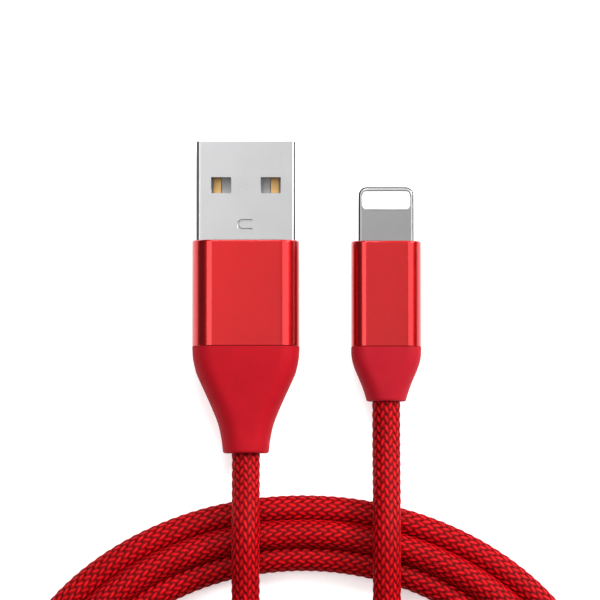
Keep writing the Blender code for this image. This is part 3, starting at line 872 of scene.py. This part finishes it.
def add_usb_shell():
    finish = dict(stretch=(1, 0.12, 1), grain=9.0, depth=0.0002)
    steel = metal("nickel_steel", (0.41, 0.41, 0.415), roughness=0.3, **finish)
    # A near-black steel for the shell's slanting corner faces: a painted dark reflection.
    painted_reflection_steel = metal("steel_painted_dark_reflection", (0.09, 0.09, 0.09), roughness=0.25, **finish)
    shell = add_piece("usb_plug_shell", skin("usb_plug_shell", shell_loops()), steel, painted_reflection_steel)
    paint_dark_corner_reflection(shell.data)
    for side in (-1, 1):
        spot = (USB.x + side * WINDOW_X, USB.tip - WINDOW_FROM_TIP, USB.z)
        cut(shell, box_mesh("window", spot, (WINDOW_W, WINDOW_L, 2 * USB.nose_h), WINDOW_R))
    top, bottom = USB.z + USB.nose_h / 2, USB.z - USB.nose_h / 2
    mark = [(USB.x + x * MM, USB.shoulder + (MARK_Y + y) * MM) for x, y in MARK]
    cut(shell, line_mesh("mark", mark, MARK_W, top - MARK_DEPTH, top + 1 * MM))
    seam = [(USB.x + x * MM, USB.shoulder + y * MM) for x, y in SEAM]
    cut(shell, line_mesh("seam", seam, SEAM_W, bottom - 1 * MM, bottom + SEAM_DEPTH))
    shade(shell.data, 30)
    ease_edges(shell, 0.03 * MM, segments=2, angle=60)
    even_normals(shell)
    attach(shell, "usb_plug")
    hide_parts("usb_shell")


# Contacts


def add_pad(plug, name, node, gold, corner):
    """A plated contact with rounded corners and rounded rims."""
    low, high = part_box(node)
    size = high - low
    bm = rounded_box(size, corner, 5)
    level = [e for e in bm.edges if abs(e.verts[0].co.z - e.verts[1].co.z) < 0.001 * MM]
    rim = 0.2 * size.z
    bmesh.ops.bevel(bm, geom=level, offset=rim, segments=2, profile=0.5, affect="EDGES")
    bmesh.ops.translate(bm, vec=(low + high) / 2, verts=bm.verts)
    pad = even_normals(add_piece(name, mesh_of(name, bm), gold))
    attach(pad, plug.body)
    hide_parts(node)


def add_contacts():
    gold = metal(
        "contact_gold", (0.62, 0.38, 0.15), roughness=0.45, stretch=(1, 0.2, 1), grain=8.0, depth=0.001
    )
    for number in range(1, 5):
        add_pad(USB, f"usb_pin_{number}", f"usb_contact_{number}", gold, 0.2 * MM)
    for number in range(1, 9):
        add_pad(PHONE, f"phone_pad_{number}", f"phone_contact_{number}", gold, 0.12 * MM)


# Phone tab

TAB_R, TAB_RIM = 1.0 * MM, 0.34 * MM
TAB_WINDOW_FROM_TIP = 1.65 * MM  # the window's middle
TAB_WINDOW_W, TAB_WINDOW_L, TAB_WINDOW_R = 5.9 * MM, 2.36 * MM, 0.75 * MM
TAB_SLOT_W, TAB_SLOT_H = 5.0 * MM, 0.7 * MM
# The second slot here is a painted dark reflection.
POLISHED, PAINTED_DARK = 1, 2  # the tab's material slots after the first


def tab_outline(inset, z, steps=10):
    """The tab from above: straight sides, and round corners at the tip."""
    half = PHONE.nose_w / 2 - inset
    corner = TAB_R - inset
    middle_y = PHONE.tip - TAB_R
    points = [(PHONE.x + half, PHONE.nose_back, z)]
    for start, side in ((0, 1), (90, -1)):
        middle_x = PHONE.x + side * (half - corner)
        for step in range(steps + 1):
            angle = math.radians(start + 90 * step / steps)
            across, along = corner * math.cos(angle), corner * math.sin(angle)
            points.append((middle_x + across, middle_y + along, z))
    points.append((PHONE.x - half, PHONE.nose_back, z))
    return points


def tab_loops():
    """From the underside to the top, round both rims."""
    loops = []
    for side, rim in ((-1, quarter(6)), (1, reversed(quarter(6)))):
        for sine, cosine in rim:
            z = PHONE.z + side * (PHONE.nose_h / 2 - TAB_RIM * (1 - cosine))
            loops.append(tab_outline(TAB_RIM * (1 - sine), z))
    return loops


def polish_rims_and_paint_dark_sides(mesh):
    """Polishes the rims where they are nearly level, and below that gives them a near-black nickel,
    which is a painted dark reflection.
    """
    for face in mesh.polygons:
        if len(face.vertices) == 4:
            face.material_index = POLISHED if abs(face.normal.z) > 0.88 else PAINTED_DARK


def add_tab():
    satin = metal(
        "satin_nickel", (0.24, 0.24, 0.24), roughness=0.36, stretch=(1, 0.12, 1), grain=9.0, depth=0.0002
    )
    polished = metal("polished_nickel", (0.32, 0.32, 0.32), roughness=0.32, grain=6.0, depth=0.0003)
    # Near-black nickel for the rims' steep faces and rounded edges: a painted dark reflection.
    edge = metal("nickel_painted_dark_reflection", (0.04, 0.04, 0.04), roughness=0.22, grain=6.0, depth=0.0003)
    mesh = skin("phone_plug_tab", tab_loops(), capped=True)
    polish_rims_and_paint_dark_sides(mesh)
    tab = add_piece("phone_plug_tab", mesh, satin, polished, edge)
    window_y = PHONE.tip - TAB_WINDOW_FROM_TIP
    size = (TAB_WINDOW_W, TAB_WINDOW_L, 2 * PHONE.nose_h)
    cut(tab, box_mesh("window", (PHONE.x, window_y, PHONE.z), size, TAB_WINDOW_R, segments=8))
    slot_spot = (PHONE.x, window_y - PHONE.nose_l / 2, PHONE.z)
    cut(tab, box_mesh("slot", slot_spot, (TAB_SLOT_W, PHONE.nose_l, TAB_SLOT_H)))
    shade(tab.data, 40)
    bevel = ease_edges(tab, 0.09 * MM, segments=3, angle=60)
    # The rounded edges take the near-black nickel too, as a painted dark reflection.
    bevel.material = PAINTED_DARK
    even_normals(tab)
    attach(tab, "phone_plug")
    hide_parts("phone_tab_frame")


# CAD nodes that stay


def finish(material, *names, eased=0.0):
    """Gives CAD nodes that stay their material, and rounds their sharp edges where asked."""
    for name in names:
        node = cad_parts[name]
        node.data.materials.clear()
        node.data.materials.append(material)
        if eased:
            ease_edges(node, eased, segments=2, angle=50)


def finish_nodes():
    grey = plastic("insulator_grey", (0.62, 0.62, 0.63), roughness=0.45, variation=0.04)
    white = plastic(
        "insert_white", (0.97, 0.97, 0.97), roughness=0.3, variation=0.01, grain=4.0, depth=0.001
    )
    cream = plastic("mould_white", (0.8, 0.8, 0.76), variation=0.05)
    steel = metal("crimp_steel", (0.6, 0.6, 0.6), roughness=0.38, grain=4.0, depth=0.003)
    green = plastic("board_green", (0.01, 0.16, 0.06), roughness=0.35, variation=0.1)
    black = plastic("chip_black", (0.015, 0.015, 0.016), roughness=0.4, variation=0.1)
    tan = plastic("capacitor_tan", (0.4, 0.25, 0.14), roughness=0.4, variation=0.08)
    wires = {
        "power": plastic("wire_red", (0.55, 0.015, 0.015), roughness=0.4),
        "data_minus": plastic("wire_white", (0.8, 0.8, 0.8), roughness=0.4),
        "data_plus": plastic("wire_green", (0.015, 0.3, 0.06), roughness=0.4),
        "ground": plastic("wire_black", (0.02, 0.02, 0.02), roughness=0.4),
    }
    finish(grey, "usb_insulator", eased=0.04 * MM)
    finish(white, "phone_contact_insert", eased=0.04 * MM)
    finish(cream, "usb_inner_mould", "phone_inner_mould")
    finish(steel, "usb_crimp", "phone_crimp", "phone_shield_can")
    finish(green, "phone_board")
    finish(black, "phone_chip")
    finish(tan, "phone_capacitor_1", "phone_capacitor_2")
    for wire, material in wires.items():
        finish(material, f"usb_wire_{wire}", f"phone_wire_{wire}")


# Floor and light


def add_floor():
    """A pale surface with a little light of its own, as a light table has."""
    nodes = Nodes(
        "floor",
        Base_Color=(0.85, 0.85, 0.85, 1.0),
        Roughness=0.8,
        Specular_IOR_Level=0.1,
        Emission_Color=(1.0, 1.0, 1.0, 1.0),
        Emission_Strength=0.5,
    )
    side = 1.5
    mesh = bpy.data.meshes.new("floor")
    spots = [(-side, -side, 0), (side, -side, 0), (side, side, 0), (-side, side, 0)]
    mesh.from_pydata(spots, [], [(0, 1, 2, 3)])
    add_piece("floor", mesh, nodes.material)


def add_light(name, across, along, size, brightness):
    """A soft box half a metre from the plugs, turned from overhead by two angles: towards +X
    and towards +Y. Its brightness is what a mirror facing it shows."""
    light = bpy.data.lights.new(name, "AREA")
    light.shape = "RECTANGLE"
    light.size, light.size_y = size
    light.energy = brightness * math.pi * size[0] * size[1]
    holder = link(bpy.data.objects.new(name, light))
    turn = Euler((-math.radians(along), math.radians(across), 0), "XYZ")
    holder.location = turn.to_matrix() @ Vector((0, 0, 0.5))
    holder.rotation_euler = turn


def add_lights():
    add_light("top", 0, 22, (0.24, 0.53), 0.84)
    add_light("left", -21, 12, (0.23, 0.32), 3.1)
    add_light("right", 36, 25, (0.36, 0.6), 2.4)
    add_light("key", 54, 21, (0.13, 0.13), 39.0)
    add_light("front", -5, 34, (0.09, 0.09), 25.0)
    add_light("behind", 0, -62, (0.8, 0.3), 0.45)


def add_world():
    world = bpy.data.worlds.new("world")
    world.use_nodes = True
    background = world.node_tree.nodes["Background"]
    background.inputs["Color"].default_value = (0.85, 0.85, 0.86, 1.0)
    background.inputs["Strength"].default_value = 0.2
    bpy.context.scene.world = world
    bpy.context.scene.view_settings.view_transform = "Standard"


add_camera()
add_cord()
add_boots()
add_housings()
add_usb_shell()
add_contacts()
add_tab()
finish_nodes()
add_floor()
add_lights()
add_world()
